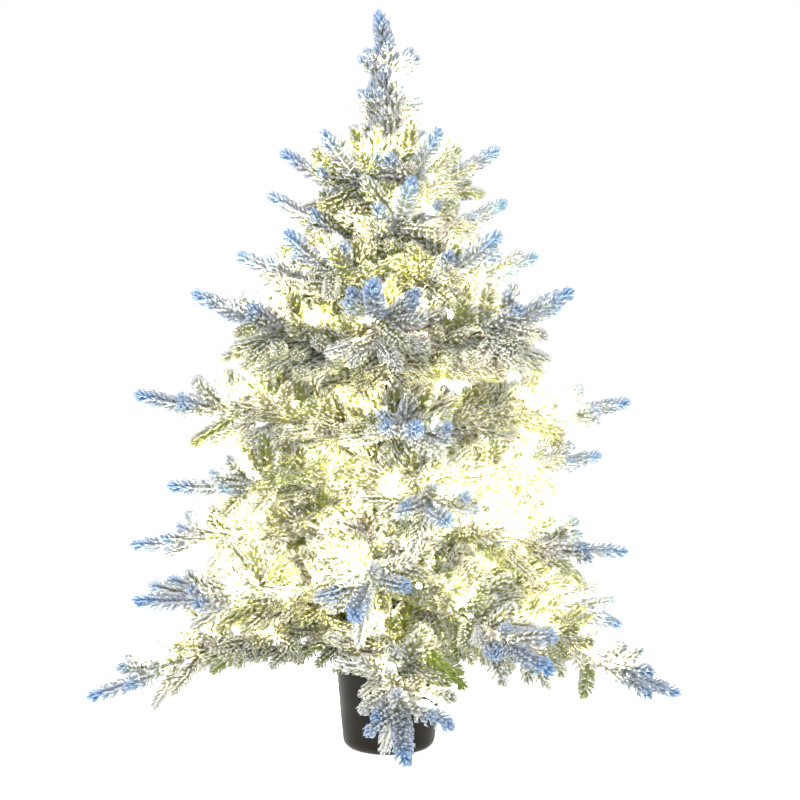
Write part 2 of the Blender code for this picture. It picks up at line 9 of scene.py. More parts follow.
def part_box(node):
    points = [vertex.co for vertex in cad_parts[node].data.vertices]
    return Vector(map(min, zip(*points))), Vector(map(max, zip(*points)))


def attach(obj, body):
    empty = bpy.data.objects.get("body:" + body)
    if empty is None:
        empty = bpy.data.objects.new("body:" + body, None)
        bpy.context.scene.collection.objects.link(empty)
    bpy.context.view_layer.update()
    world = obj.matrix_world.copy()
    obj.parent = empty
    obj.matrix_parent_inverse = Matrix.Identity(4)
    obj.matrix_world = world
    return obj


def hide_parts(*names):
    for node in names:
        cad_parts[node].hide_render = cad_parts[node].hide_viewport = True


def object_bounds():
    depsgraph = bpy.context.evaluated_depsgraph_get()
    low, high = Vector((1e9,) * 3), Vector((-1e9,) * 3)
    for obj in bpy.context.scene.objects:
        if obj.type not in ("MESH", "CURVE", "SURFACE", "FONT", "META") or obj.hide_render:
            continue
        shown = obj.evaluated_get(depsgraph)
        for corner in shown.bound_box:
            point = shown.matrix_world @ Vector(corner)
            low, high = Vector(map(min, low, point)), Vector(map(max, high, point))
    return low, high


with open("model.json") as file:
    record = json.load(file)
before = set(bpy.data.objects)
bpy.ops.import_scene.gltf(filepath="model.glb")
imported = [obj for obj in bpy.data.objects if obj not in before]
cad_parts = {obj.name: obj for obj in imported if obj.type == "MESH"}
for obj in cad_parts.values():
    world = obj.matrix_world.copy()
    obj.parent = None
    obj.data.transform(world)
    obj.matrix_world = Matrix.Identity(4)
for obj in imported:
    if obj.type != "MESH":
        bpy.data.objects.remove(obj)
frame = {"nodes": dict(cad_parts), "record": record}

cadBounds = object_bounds()
joints = {joint["name"]: joint for joint in frame["record"]["behaviour"]["joints"]}
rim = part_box("pot")[1][2]
up = Vector((0.0, 0.0, 1.0))
ringReach = 0.00002  # how near to a height the vertices of one ring lie
goldenTurn = 137.5  # degrees from one place of a spiral to the next


def clearSelection():
    bpy.ops.object.select_all(action="DESELECT")


def activate(thing):
    clearSelection()
    thing.select_set(True)
    bpy.context.view_layer.objects.active = thing


def pick(thing, test):
    # select the vertices that pass a test on their place, and go to edit mode
    bpy.ops.object.mode_set(mode="OBJECT")
    mesh = thing.data
    for vert in mesh.vertices:
        vert.select = test(vert.co)
    for edge in mesh.edges:
        edge.select = all(mesh.vertices[index].select for index in edge.vertices)
    for face in mesh.polygons:
        face.select = all(mesh.vertices[index].select for index in face.vertices)
    bpy.ops.object.mode_set(mode="EDIT")


def ringCut(height):
    # a new ring of vertices round the whole shape, level at a height
    bpy.ops.mesh.select_all(action="SELECT")
    bpy.ops.mesh.bisect(plane_co=(0, 0, height), plane_no=(0, 0, 1))


def widenRing(thing, height, factor):
    pick(thing, lambda place: abs(place.z - height) < ringReach)
    bpy.ops.transform.resize(value=(factor, factor, 1.0), center_override=(0, 0, height))


def leaveEdit():
    bpy.ops.object.mode_set(mode="OBJECT")


def copyOf(thing, matrix):
    made = thing.copy()
    made.data = thing.data.copy()
    bpy.context.scene.collection.objects.link(made)
    made.matrix_world = matrix
    return made


def joinAs(name, things):
    clearSelection()
    for thing in things:
        thing.select_set(True)
    bpy.context.view_layer.objects.active = things[0]
    if len(things) > 1:
        bpy.ops.object.join()
    joined = bpy.context.view_layer.objects.active
    bpy.ops.object.transform_apply(location=True, rotation=True, scale=True)
    joined.name = name
    joined.data.name = name
    return joined


def coat(thing, material):
    thing.data.materials.clear()
    thing.data.materials.append(material)


def setPoints(thing, name, values):
    # one number for each vertex, kept with the mesh
    layer = thing.data.attributes.get(name) or thing.data.attributes.new(name, "FLOAT", "POINT")
    layer.data.foreach_set("value", values)


def setEvenly(thing, name, value):
    setPoints(thing, name, [value] * len(thing.data.vertices))


def axesMatrix(root, direction, upward):
    # X runs along the direction, Z as near to upward as it can be
    x = direction.normalized()
    y = upward.cross(x)
    if y.length < 0.05:
        y = Vector((0, 1, 0)).cross(x)
    y.normalize()
    z = x.cross(y)
    matrix = Matrix((x, y, z)).transposed().to_4x4()
    matrix.translation = root
    return matrix


def standing(root, direction, upward):
    # a place for a piece that is modelled along Z and points in a direction
    return axesMatrix(root, direction, upward) @ Matrix.Rotation(math.radians(90), 4, "Y")


def newGroup(name, inputs, outputs):
    group = bpy.data.node_groups.new(name, "ShaderNodeTree")
    for label, kind, value in inputs:
        socket = group.interface.new_socket(label, in_out="INPUT", socket_type=kind)
        socket.default_value = value
    for label, kind in outputs:
        group.interface.new_socket(label, in_out="OUTPUT", socket_type=kind)
    return group


def addNode(tree, kind, **values):
    node = tree.nodes.new(kind)
    for key, value in values.items():
        setattr(node, key, value)
    return node


def mathNode(tree, operation, first, second=None, clamp=False):
    node = addNode(tree, "ShaderNodeMath", operation=operation, use_clamp=clamp)
    for socket, value in zip(node.inputs, (first, second)):
        if value is None:
            continue
        if isinstance(value, (int, float)):
            socket.default_value = value
        else:
            tree.links.new(value, socket)
    return node.outputs[0]


def softStep(tree, value, low, high):
    node = addNode(tree, "ShaderNodeMapRange", interpolation_type="SMOOTHSTEP")
    tree.links.new(value, node.inputs["Value"])
    node.inputs["From Min"].default_value = low
    node.inputs["From Max"].default_value = high
    return node.outputs["Result"]


def mixColour(tree, amount, first, second):
    node = addNode(tree, "ShaderNodeMix", data_type="RGBA")
    for socket, value in ((node.inputs[0], amount), (node.inputs[6], first), (node.inputs[7], second)):
        if isinstance(value, (int, float)):
            socket.default_value = value
        elif isinstance(value, tuple):
            socket.default_value = (*value, 1.0)
        else:
            tree.links.new(value, socket)
    return node.outputs[2]


def noiseNode(tree, place, scale, detail=2.0, roughness=0.5):
    node = addNode(tree, "ShaderNodeTexNoise")
    tree.links.new(place, node.inputs["Vector"])
    node.inputs["Scale"].default_value = scale
    node.inputs["Detail"].default_value = detail
    node.inputs["Roughness"].default_value = roughness
    return node.outputs["Fac"]


def attributeNode(tree, name):
    return addNode(tree, "ShaderNodeAttribute", attribute_name=name).outputs["Fac"]


flocked = {
    "needle": (0.29, 0.30, 0.060),
    "missed": (0.27, 0.36, 0.05),  # a needle that the flock has missed
    "snow": (0.92, 0.93, 0.92),
    "dullSnow": (0.42, 0.45, 0.45),
    # painted shade: the snow of the outermost sprigs, painted this darker blue-grey as if in shade
    "shadedOuterSnow": (0.34, 0.41, 0.54),
    "dye": (0.050, 0.20, 0.47),
    "brightDye": (0.21, 0.45, 0.80),
    "paleDye": (0.56, 0.70, 0.90),
    "cover": 0.25,
    "upward": 0.22,
    # what each mask adds to the cover
    "masks": {"reach": 0.55, "outer": 0.24, "patch": 0.30, "grain": 0.18, "tint": -0.28},
    "grainScale": 1400.0,
    "patchScale": 90.0,
    "bump": (0.5, 0.0004),
}


def makeFlocking():
    # snow flock over a moulded needle: thick on its upper side and end, thin at its root,
    # and dyed blue towards the end of the outermost sprigs, whose snow also gets painted shade
    inputs = [
        ("Needle", "NodeSocketColor", (0.2, 0.3, 0.1, 1.0)),
        ("Snow", "NodeSocketColor", (0.8, 0.8, 0.8, 1.0)),
        ("Dye", "NodeSocketColor", (0.1, 0.3, 0.6, 1.0)),
        ("Cover", "NodeSocketFloat", 0.5),
    ]
    outputs = [("Color", "NodeSocketColor"), ("Height", "NodeSocketFloat")]
    tree = newGroup("flocking", inputs, outputs)
    given = addNode(tree, "NodeGroupInput").outputs
    result = addNode(tree, "NodeGroupOutput").inputs
    place = addNode(tree, "ShaderNodeTexCoord")
    upward = addNode(tree, "ShaderNodeSeparateXYZ")
    tree.links.new(place.outputs["Normal"], upward.inputs[0])
    grain = noiseNode(tree, place.outputs["Object"], flocked["grainScale"], 3.0, 0.65)
    patch = noiseNode(tree, place.outputs["Object"], flocked["patchScale"])
    reach = attributeNode(tree, "reach")
    along = attributeNode(tree, "along")
    outer = attributeNode(tree, "outer")
    tint = attributeNode(tree, "tint")
    masks = {"reach": reach, "outer": outer, "patch": patch, "grain": grain, "tint": tint}
    cover = mathNode(tree, "MULTIPLY_ADD", upward.outputs["Z"], flocked["upward"])
    tree.links.new(given["Cover"], cover.node.inputs[2])
    for name, share in flocked["masks"].items():
        cover = mathNode(tree, "ADD", cover, mathNode(tree, "MULTIPLY", masks[name], share))
    snow = softStep(tree, cover, 0.52, 0.92)
    dyed = mathNode(tree, "ADD", along, mathNode(tree, "MULTIPLY", patch, 0.35))
    dyed = softStep(tree, dyed, 0.76, 1.10)
    dyed = mathNode(tree, "MULTIPLY", dyed, softStep(tree, outer, 0.35, 1.0))
    shade = mathNode(tree, "MULTIPLY_ADD", grain, 0.5, clamp=True)
    shade.node.inputs[2].default_value = 0.55
    green = mixColour(tree, softStep(tree, tint, 0.0, 2.4), given["Needle"], flocked["missed"])
    dull = mixColour(tree, grain, flocked["dullSnow"], given["Snow"])
    white = mixColour(tree, shade, dull, given["Snow"])
    # painted shade: the snow turns to the darker blue-grey towards the outermost sprigs
    shadowed = mathNode(tree, "MULTIPLY", mathNode(tree, "MULTIPLY", outer, outer), 0.85)
    white = mixColour(tree, shadowed, white, flocked["shadedOuterSnow"])
    colour = mixColour(tree, snow, green, white)
    deep = mixColour(tree, reach, given["Dye"], flocked["brightDye"])
    dye = mixColour(tree, mathNode(tree, "MULTIPLY", grain, reach), deep, flocked["paleDye"])
    tree.links.new(mixColour(tree, dyed, colour, dye), result["Color"])
    tree.links.new(mathNode(tree, "MULTIPLY", grain, snow), result["Height"])
    return tree


def principled(name, roughness, metallic=0.0, **fixed):
    material = bpy.data.materials.new(name)
    material.use_nodes = True
    shader = material.node_tree.nodes["Principled BSDF"]
    shader.inputs["Roughness"].default_value = roughness
    shader.inputs["Metallic"].default_value = metallic
    for label, value in fixed.items():
        shader.inputs[label.replace("_", " ")].default_value = value
    return material, material.node_tree, shader


def bumpInto(tree, shader, height, strength, distance):
    bump = addNode(tree, "ShaderNodeBump")
    bump.inputs["Strength"].default_value = strength
    bump.inputs["Distance"].default_value = distance
    tree.links.new(height, bump.inputs["Height"])
    tree.links.new(bump.outputs["Normal"], shader.inputs["Normal"])


def flockedNeedles(group):
    material, tree, shader = principled("flockedNeedles", 0.85, Sheen_Weight=0.25)
    flock = addNode(tree, "ShaderNodeGroup", node_tree=group)
    for label in ("needle", "snow", "dye"):
        flock.inputs[label.title()].default_value = (*flocked[label], 1.0)
    flock.inputs["Cover"].default_value = flocked["cover"]
    tree.links.new(flock.outputs["Color"], shader.inputs["Base Color"])
    bumpInto(tree, shader, flock.outputs["Height"], *flocked["bump"])
    return material


def makeSpeckle():
    # fine grain and slow blotches for mouldings, paint and cement
    inputs = [
        ("Base", "NodeSocketColor", (0.1, 0.1, 0.1, 1.0)),
        ("Worn", "NodeSocketColor", (0.2, 0.2, 0.2, 1.0)),
        ("Grain scale", "NodeSocketFloat", 900.0),
        ("Blotch scale", "NodeSocketFloat", 40.0),
        ("Wear", "NodeSocketFloat", 0.3),
    ]
    outputs = [("Color", "NodeSocketColor"), ("Grain", "NodeSocketFloat"), ("Roughness", "NodeSocketFloat")]
    tree = newGroup("speckle", inputs, outputs)
    given = addNode(tree, "NodeGroupInput").outputs
    result = addNode(tree, "NodeGroupOutput").inputs
    place = addNode(tree, "ShaderNodeTexCoord").outputs["Object"]
    grain = addNode(tree, "ShaderNodeTexNoise")
    blotch = addNode(tree, "ShaderNodeTexNoise")
    for node, scale in ((grain, "Grain scale"), (blotch, "Blotch scale")):
        tree.links.new(place, node.inputs["Vector"])
        tree.links.new(given[scale], node.inputs["Scale"])
        node.inputs["Detail"].default_value = 3.0
    worn = mathNode(tree, "MULTIPLY", blotch.outputs["Fac"], grain.outputs["Fac"])
    worn = softStep(tree, worn, 0.20, 0.42)
    worn = mathNode(tree, "MULTIPLY", worn, given["Wear"])
    tree.links.new(mixColour(tree, worn, given["Base"], given["Worn"]), result["Color"])
    tree.links.new(grain.outputs["Fac"], result["Grain"])
    rough = mathNode(tree, "MULTIPLY_ADD", blotch.outputs["Fac"], 0.25)
    rough.node.inputs[2].default_value = 0.25
    tree.links.new(rough, result["Roughness"])
    return tree


def speckled(name, group, base, worn, grain, blotch, wear, bump, metallic=0.0, rough=None, **fixed):
    material, tree, shader = principled(name, rough or 0.5, metallic, **fixed)
    speckle = addNode(tree, "ShaderNodeGroup", node_tree=group)
    speckle.inputs["Base"].default_value = (*base, 1.0)
    speckle.inputs["Worn"].default_value = (*worn, 1.0)
    speckle.inputs["Grain scale"].default_value = grain
    speckle.inputs["Blotch scale"].default_value = blotch
    speckle.inputs["Wear"].default_value = wear
    tree.links.new(speckle.outputs["Color"], shader.inputs["Base Color"])
    if rough is None:
        tree.links.new(speckle.outputs["Roughness"], shader.inputs["Roughness"])
    bumpInto(tree, shader, speckle.outputs["Grain"], bump, 0.0003)
    return material


def glowingLens():
    material, _, shader = principled("glowingLens", 0.15)
    shader.inputs["Base Color"].default_value = (*bulb["tint"], 1.0)
    shader.inputs["Emission Color"].default_value = (*bulb["light"], 1.0)
    shader.inputs["Emission Strength"].default_value = bulb["glow"]
    return material


needle = {
    "length": 0.0152,
    "width": 0.0047,
    "flatness": 0.50,
    "belly": 0.78,
    "rootWidth": 0.70,
    "bulge": 0.0010,  # the needle bows outwards at its belly and folds forwards at its end
    "fold": 0.0030,
}


def makeNeedle():
    # a three-sided cone with its waist pulled out, so the needle stays broad and ends bluntly
    clearSelection()
    length = needle["length"]
    root = needle["width"] / 2 * needle["rootWidth"]
    bpy.ops.mesh.primitive_cone_add(
        vertices=3, radius1=root, radius2=0.0, depth=length, location=(0, 0, length / 2)
    )
    made = bpy.context.object
    bpy.ops.object.transform_apply(location=True)
    bpy.ops.object.mode_set(mode="EDIT")
    belly = length * needle["belly"]
    ringCut(belly)
    widenRing(made, belly, 1.0 / (needle["rootWidth"] * (1.0 - needle["belly"])))
    bpy.ops.mesh.select_all(action="SELECT")
    bpy.ops.transform.resize(value=(needle["flatness"], 1.0, 1.0), center_override=(0, 0, 0))
    pick(made, lambda place: abs(place.z - belly) < ringReach)
    bpy.ops.transform.translate(value=(-needle["bulge"], 0, 0))
    pick(made, lambda place: place.z > length - ringReach)
    bpy.ops.transform.translate(value=(needle["fold"], 0, 0))
    leaveEdit()
    bpy.ops.object.shade_smooth()
    made.name = "needlePattern"
    setPoints(made, "reach", [vert.co.z / length for vert in made.data.vertices])
    return made


sprigShape = {
    "pitch": 0.0055,
    "first": 0.003,
    "rowShift": 0.33,  # each pair of rows starts this share of the pitch further on
    "bare": 0.018,  # length without side needles, at the root and the end together
    # for each pair of rows, its roll above the flat in degrees, its needles' size, and how many steps apart
    # they are
    "rows": ((4.0, 1.0, 1), (40.0, 0.98, 1), (78.0, 0.92, 2), (-36.0, 1.0, 2), (-76.0, 0.80, 3)),
    "lean": 52.0,  # needle to twig at the root end
    "tipLean": 36.0,
    "rootShare": 0.74,  # the size of the needles at the root
    "close": 0.34,  # how much the last needles shorten, so that the sprig ends in a round bud
    "closeFrom": 0.72,
    "twig": 0.0013,
    "core": 0.0021,  # the moulded core swells towards the end of the sprig
    "coreEnd": 0.006,  # the core stops this far short of the sprig's end
    # lean, size, place short of the end and number of the needles in each ring of the bud
    "bud": ((15.0, 0.66, 0.0105, 4), (42.0, 0.66, 0.0125, 7)),
    "curl": 0.10,
    "sway": 0.04,
}
# length, and the seed of the needles' small differences
sprigKinds = {"long": (0.088, 3), "middle": (0.076, 5), "short": (0.063, 7), "stub": (0.049, 11)}


def needleShare(share):
    # needles are shorter at both ends of a sprig
    least = sprigShape["rootShare"]
    grown = least + (1.0 - least) * math.sin(math.pi / 2 * min(1.0, 0.15 + share * 1.6))
    late = (share - sprigShape["closeFrom"]) / (1.0 - sprigShape["closeFrom"])
    return grown * (1.0 - sprigShape["close"] * max(0.0, late) ** 2)


def coreRadius(share):
    # the core swells from the root on and closes to a point
    swell = math.sin(math.pi / 2 * min(1.0, share * 1.35)) ** 1.5
    close = math.sqrt(max(0.0, 1.0 - (max(0.0, share - 0.80) / 0.20) ** 2))
    full = sprigShape["twig"] + (sprigShape["core"] - sprigShape["twig"]) * swell
    return max(0.0004, full * close)


def makeCore(length):
    bpy.ops.mesh.primitive_cylinder_add(
        vertices=6, radius=sprigShape["twig"], depth=length, location=(0, 0, length / 2)
    )
    core = bpy.context.object
    bpy.ops.object.transform_apply(location=True)
    bpy.ops.object.mode_set(mode="EDIT")
    rings = (0.25, 0.5, 0.75, 0.9, 0.97)
    for share in rings:
        ringCut(length * share)
    for share in rings:
        widenRing(core, length * share, coreRadius(share) / sprigShape["twig"])
    widenRing(core, length, 0.3)
    leaveEdit()
    bpy.ops.object.shade_smooth()
    setEvenly(core, "reach", 0.62)
    setPoints(core, "along", [vert.co.z / length for vert in core.data.vertices])
    core.matrix_world = Matrix.Rotation(math.radians(90), 4, "Y")
    return core


def sprigNeedles(length, dice):
    # the places and directions of all needles of one sprig that lies along X
    steps = int((length - sprigShape["bare"]) / sprigShape["pitch"])
    for step in range(steps + 1):
        share = step / steps
        lean = sprigShape["lean"] + (sprigShape["tipLean"] - sprigShape["lean"]) * share**3
        for row, (roll, size, every) in enumerate(sprigShape["rows"]):
            for hand in (1, -1):
                if (step + (hand > 0)) % every:
                    continue
                shift = 0.5 * (hand > 0) + sprigShape["rowShift"] * row
                x = sprigShape["first"] + sprigShape["pitch"] * (step + shift)
                scale = needleShare(share) * size * dice.uniform(0.9, 1.1)
                yield x, lean + dice.uniform(-6, 6), hand, roll + dice.uniform(-8, 8), scale
    for lean, size, short, count in sprigShape["bud"]:
        for place in range(count):
            roll = 360.0 * (place + dice.uniform(-0.2, 0.2)) / count
            yield length - short, lean + dice.uniform(-4, 4), 1, roll, size * dice.uniform(0.94, 1.06)


def makeSprig(kind, pattern):
    length, seed = sprigKinds[kind]
    dice = random.Random(seed)
    things = [makeCore(length - sprigShape["coreEnd"])]
    for x, lean, hand, roll, scale in sprigNeedles(length, dice):
        forward = math.cos(math.radians(lean))
        sideways = math.sin(math.radians(lean))
        turn = math.radians(roll)
        direction = Vector((forward, hand * sideways * math.cos(turn), sideways * math.sin(turn)))
        outside = direction * forward - Vector((1.0, 0.0, 0.0))
        place = standing(Vector((x, 0, 0)), direction, outside)
        place.translation += direction * coreRadius(x / length) * 0.5
        made = copyOf(pattern, place @ Matrix.Scale(scale, 4))
        setEvenly(made, "along", min(1.0, (x + 0.004) / length))
        things.append(made)
    sprig = joinAs(f"sprig_{kind}", things)
    for vert in sprig.data.vertices:
        share = vert.co.x / length
        vert.co.z += sprigShape["curl"] * length * share**2
        vert.co.y += sprigShape["sway"] * length * math.sin(share * 2.4 + seed)
    return sprig


def placeSprig(kind, root, direction, upward, scale, outer, tint):
    made = copyOf(sprigs[kind], axesMatrix(root, direction, upward) @ Matrix.Scale(scale, 4))
    setEvenly(made, "outer", outer)
    setEvenly(made, "tint", tint)
    return made


# a branch wire's own vertices lie this near its middle plane, and its rings this far apart or more
wireShape = {"reach": 0.0018, "ringGap": 0.004}


def wireLine(node, hinge, outward):
    # the middle of each ring of a branch wire, from the hinge to its end
    lateral = up.cross(outward)
    points = []
    for vert in frame["nodes"][node].data.vertices:
        offset = vert.co - hinge
        if abs(offset.dot(lateral)) < wireShape["reach"]:
            points.append(vert.co.copy())
    points.sort(key=lambda place: (place - hinge).dot(outward))
    rings = [[points[0]]]
    for place in points[1:]:
        if (place - rings[-1][-1]).dot(outward) > wireShape["ringGap"]:
            rings.append([])
        rings[-1].append(place)
    line = [hinge.copy()]
    for ring in rings[1:]:
        line.append(sum(ring, Vector()) / len(ring))
    return line


def bentLine(start, outward, rise, end, length, steps=12):
    # a wire whose slope goes evenly from rise to end, in degrees
    line = [start.copy()]
    for step in range(steps):
        slope = math.radians(rise + (end - rise) * (step + 0.5) / steps)
        line.append(line[-1] + (outward * math.cos(slope) + up * math.sin(slope)) * (length / steps))
    return line


def lineLength(line):
    return sum((b - a).length for a, b in zip(line, line[1:]))


def onLine(line, distance):
    # place and direction so far along a line
    travelled = 0.0
    for index, (a, b) in enumerate(zip(line, line[1:])):
        span = (b - a).length
        if travelled + span >= distance or index == len(line) - 2:
            share = (distance - travelled) / span
            here = (b - a).normalized()
            before = (a - line[index - 1]).normalized() if index else here
            after = (line[index + 2] - b).normalized() if index + 2 < len(line) else here
            blended = (before + here).lerp(here + after, min(max(share, 0.0), 1.0)).normalized()
            return a + (b - a) * share, blended
        travelled += span


def turnedFrom(along, lateral, upward, spread, lift):
    # a direction at an angle to the side of a line and lifted out of its plane
    turn = math.radians(spread)
    slope = math.radians(lift)
    flat = along * math.cos(turn) + lateral * math.sin(turn)
    return (flat * math.cos(slope) + upward * math.sin(slope)).normalized()


def sidesOf(along):
    # the level direction across a line, and the one square to both
    lateral = up.cross(along).normalized()
    return lateral, along.cross(lateral)


def outwardAt(degrees):
    turn = math.radians(degrees)
    return Vector((math.cos(turn), math.sin(turn), 0.0))


spray = {
    "pitch": 0.031,
    "spread": (64.0, 40.0),  # side sprig to line, at its root and at its end
    "lift": (-16.0, 26.0),
    "fullest": 0.30,  # share of the line where the side sprigs are longest
    "shortens": 0.26,
    "rise": (34, 62),  # slope of the sprigs above the line, and of those below it
    "drop": (22, 54),
    "upperFan": 0.078,
    "lowerFan": 0.076,
    "lowerUntil": 0.85,
    "tipBack": 0.030,
    "tipScale": 1.10,
    "fanUntil": 0.62,  # share of the line along which each side sprig forks in three
    "fanSpread": (32.0, 48.0),
}
# longest side sprig, where the first one is, and the share of the line from which the dye grows
branchSpray = {"longest": 0.090, "start": 0.026, "blueFrom": 0.55}
armSpray = {"longest": 0.089, "start": 0.018, "blueFrom": 0.45}
# where fans hang from an arm that has a wide gap below it, how long they are and how far they drop
hangingFan = {"at": (0.34, 0.52, 0.70), "size": 0.090, "drop": (40, 58)}


def kindFor(length):
    for kind in ("long", "middle", "short"):
        if length >= sprigKinds[kind][0]:
            return kind
    return "stub"


def growFan(root, direction, size, outer, tone, dice):
    # one moulding: a middle sprig with a shorter one forking off to each side
    lateral, upward = sidesOf(direction)
    things = [placeSprig(kindFor(size), root, direction, up, dice.uniform(0.94, 1.06), outer, tone)]
    for hand in (1, -1):
        fork = root + direction * size * dice.uniform(0.14, 0.26)
        turn = hand * dice.uniform(*spray["fanSpread"])
        aside = turnedFrom(direction, lateral, upward, turn, dice.uniform(-14, 20))
        kind = kindFor(size * dice.uniform(0.74, 0.9))
        things.append(placeSprig(kind, fork, aside, up, dice.uniform(0.92, 1.04), outer * 0.9, tone))
    return things


def hangFans(line, dice):
    things = []
    for share in hangingFan["at"]:
        place, along = onLine(line, lineLength(line) * share)
        lateral, upward = sidesOf(along)
        for hand in (1, -1):
            turn = hand * dice.uniform(10, 44)
            direction = turnedFrom(along, lateral, upward, turn, -dice.uniform(*hangingFan["drop"]))
            things += growFan(place, direction, hangingFan["size"], 0.35 * share, 0.8 * dice.random(), dice)
    return things


def growTip(line, dice):
    # a fan of three at the end of a line
    total = lineLength(line)
    place, along = onLine(line, total - spray["tipBack"])
    lateral, upward = sidesOf(along)
    things = [placeSprig("long", place, along, up, spray["tipScale"], 1.0, 0.2 * dice.random())]
    for hand in (1, -1):
        direction = turnedFrom(along, lateral, upward, hand * dice.uniform(26, 38), dice.uniform(-4, 12))
        root, _ = onLine(line, total - spray["tipBack"] * 1.8)
        scale = spray["tipScale"] * dice.uniform(0.9, 1.0)
        things.append(placeSprig("middle", root, direction, up, scale, 0.8, 0.4 * dice.random()))
    return things


def growSpray(line, dice, kind):
    # sprigs to both sides, above, below and at the end of one line
    things = []
    total = lineLength(line)
    count = max(2, round((total - kind["start"]) / spray["pitch"]))
    for step in range(count):
        share = step / count
        distance = kind["start"] + (total - kind["start"]) * share
        place, along = onLine(line, distance)
        lateral, upward = sidesOf(along)
        outer = max(0.0, (distance / total - kind["blueFrom"]) / (1.0 - kind["blueFrom"]))
        spread = spray["spread"][0] + (spray["spread"][1] - spray["spread"][0]) * share
        away = abs(share - spray["fullest"]) / (1.0 - spray["fullest"])
        size = kind["longest"] * (1.0 - spray["shortens"] * away)
        for hand in (1, -1):
            root = place + along * dice.uniform(-0.006, 0.006) + upward * 0.002
            turn = hand * (spread + dice.uniform(-9, 9))
            direction = turnedFrom(along, lateral, upward, turn, dice.uniform(*spray["lift"]))
            length = size * dice.uniform(0.86, 1.08)
            if share < spray["fanUntil"]:
                things += growFan(root, direction, length, outer, dice.random(), dice)
            else:
                scale = dice.uniform(0.92, 1.08)
                things.append(placeSprig(kindFor(length), root, direction, up, scale, outer, dice.random()))
        turn = dice.choice((-1, 1)) * dice.uniform(5, 40)
        direction = turnedFrom(along, lateral, upward, turn, dice.uniform(*spray["rise"]))
        if share < spray["fanUntil"]:
            things += growFan(place, direction, spray["upperFan"], outer * 0.9, dice.random(), dice)
        else:
            things.append(placeSprig("stub", place, direction, -along, 1.0, outer * 0.9, dice.random()))
        if share < spray["lowerUntil"]:
            turn = dice.choice((-1, 1)) * dice.uniform(10, 50)
            direction = turnedFrom(along, lateral, upward, turn, -dice.uniform(*spray["drop"]))
            if share < spray["fanUntil"] * 0.8:
                things += growFan(place, direction, spray["lowerFan"], outer * 0.5, dice.random(), dice)
            else:
                things.append(placeSprig("middle", place, direction, up, 0.98, outer * 0.5, dice.random()))
    return things + growTip(line, dice)


def finishFoliage(name, things, body, nodes=()):
    made = joinAs(name, things)
    coat(made, materials["flockedNeedles"])
    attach(made, body)
    if nodes:
        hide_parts(*nodes)


bulb = {
    "lens": 0.0052,
    "lensLength": 0.0085,
    "socket": 0.0064,
    "socketLength": 0.017,
    "turn": (20.0, 110.0),  # how far it points away from its wire, in degrees
    "lift": (5.0, 70.0),
    "away": (0.024, 0.034),
    "first": 0.18,  # share of the branch before its first bulb, and the share that carries bulbs
    "along": 0.72,
    "few": 5,
    "many": 8,
    "crowded": ("1_1", "1_3", "2_1", "2_3", "3_1", "4_1", "5_1"),  # branches that carry more bulbs
    "tint": (1.0, 0.9, 0.7),
    "light": (1.0, 0.85, 0.50),
    "glow": 2900.0,
}
branchLead = {"wire": 0.0007, "wind": 0.0065, "turn": 0.055, "step": 0.012, "start": 0.018}


def makeLens():
    clearSelection()
    radius = bulb["lens"] / 2
    bpy.ops.mesh.primitive_uv_sphere_add(segments=10, ring_count=7, radius=radius)
    lens = bpy.context.object
    bpy.ops.object.mode_set(mode="EDIT")
    pick(lens, lambda place: place.z > radius * 0.3)
    bpy.ops.transform.translate(value=(0, 0, bulb["lensLength"] - bulb["lens"]))
    pick(lens, lambda place: place.z < -radius * 0.3)
    bpy.ops.transform.resize(value=(0.85, 0.85, 1.0), center_override=(0, 0, 0))
    leaveEdit()
    bpy.ops.object.shade_smooth()
    lens.name = "lensPattern"
    return lens


def makeSocket():
    clearSelection()
    length = bulb["socketLength"]
    radius = bulb["socket"] / 2
    bpy.ops.mesh.primitive_cylinder_add(
        vertices=10, radius=radius, depth=length, location=(0, 0, -length / 2)
    )
    socket = bpy.context.object
    bpy.ops.object.transform_apply(location=True)
    bpy.ops.object.mode_set(mode="EDIT")
    steps = ((0.12, 1.0), (0.2, 0.84), (0.55, 0.80), (0.62, 0.92), (0.7, 0.78))
    for share, factor in steps:
        ringCut(-length * share)
    for share, factor in steps:
        widenRing(socket, -length * share, factor)
    widenRing(socket, -length, 0.45)
    leaveEdit()
    bpy.ops.object.shade_smooth_by_angle(angle=math.radians(40))
    socket.name = "socketPattern"
    return socket


def tubeThrough(name, points, radius):
    curve = bpy.data.curves.new(name, "CURVE")
    curve.dimensions = "3D"
    curve.bevel_depth = radius
    curve.bevel_resolution = 1
    curve.use_fill_caps = True
    spline = curve.splines.new("POLY")
    spline.points.add(len(points) - 1)
    for knot, place in zip(spline.points, points):
        knot.co = (*place, 1.0)
    made = bpy.data.objects.new(name, curve)
    bpy.context.scene.collection.objects.link(made)
    activate(made)
    bpy.ops.object.convert(target="MESH")
    bpy.ops.object.shade_smooth()
    return bpy.context.object


def smoothed(points, steps=3):
    # a Catmull-Rom curve through the points
    route = []
    for index in range(len(points) - 1):
        a, b, c, d = (points[min(max(index + shift, 0), len(points) - 1)] for shift in (-1, 0, 1, 2))
        for step in range(steps):
            t = step / steps
            straight = b * 2 + (c - a) * t + (a * 2 - b * 5 + c * 4 - d) * t**2
            route.append((straight + (b * 3 - a - c * 3 + d) * t**3) * 0.5)
    route.append(points[-1])
    return route


def aimAside(along, dice):
    # a bulb points away from its wire, to either side and a little up
    turn = dice.uniform(*bulb["turn"]) * dice.choice((-1, 1))
    return turnedFrom(along, *sidesOf(along), turn, dice.uniform(*bulb["lift"]))


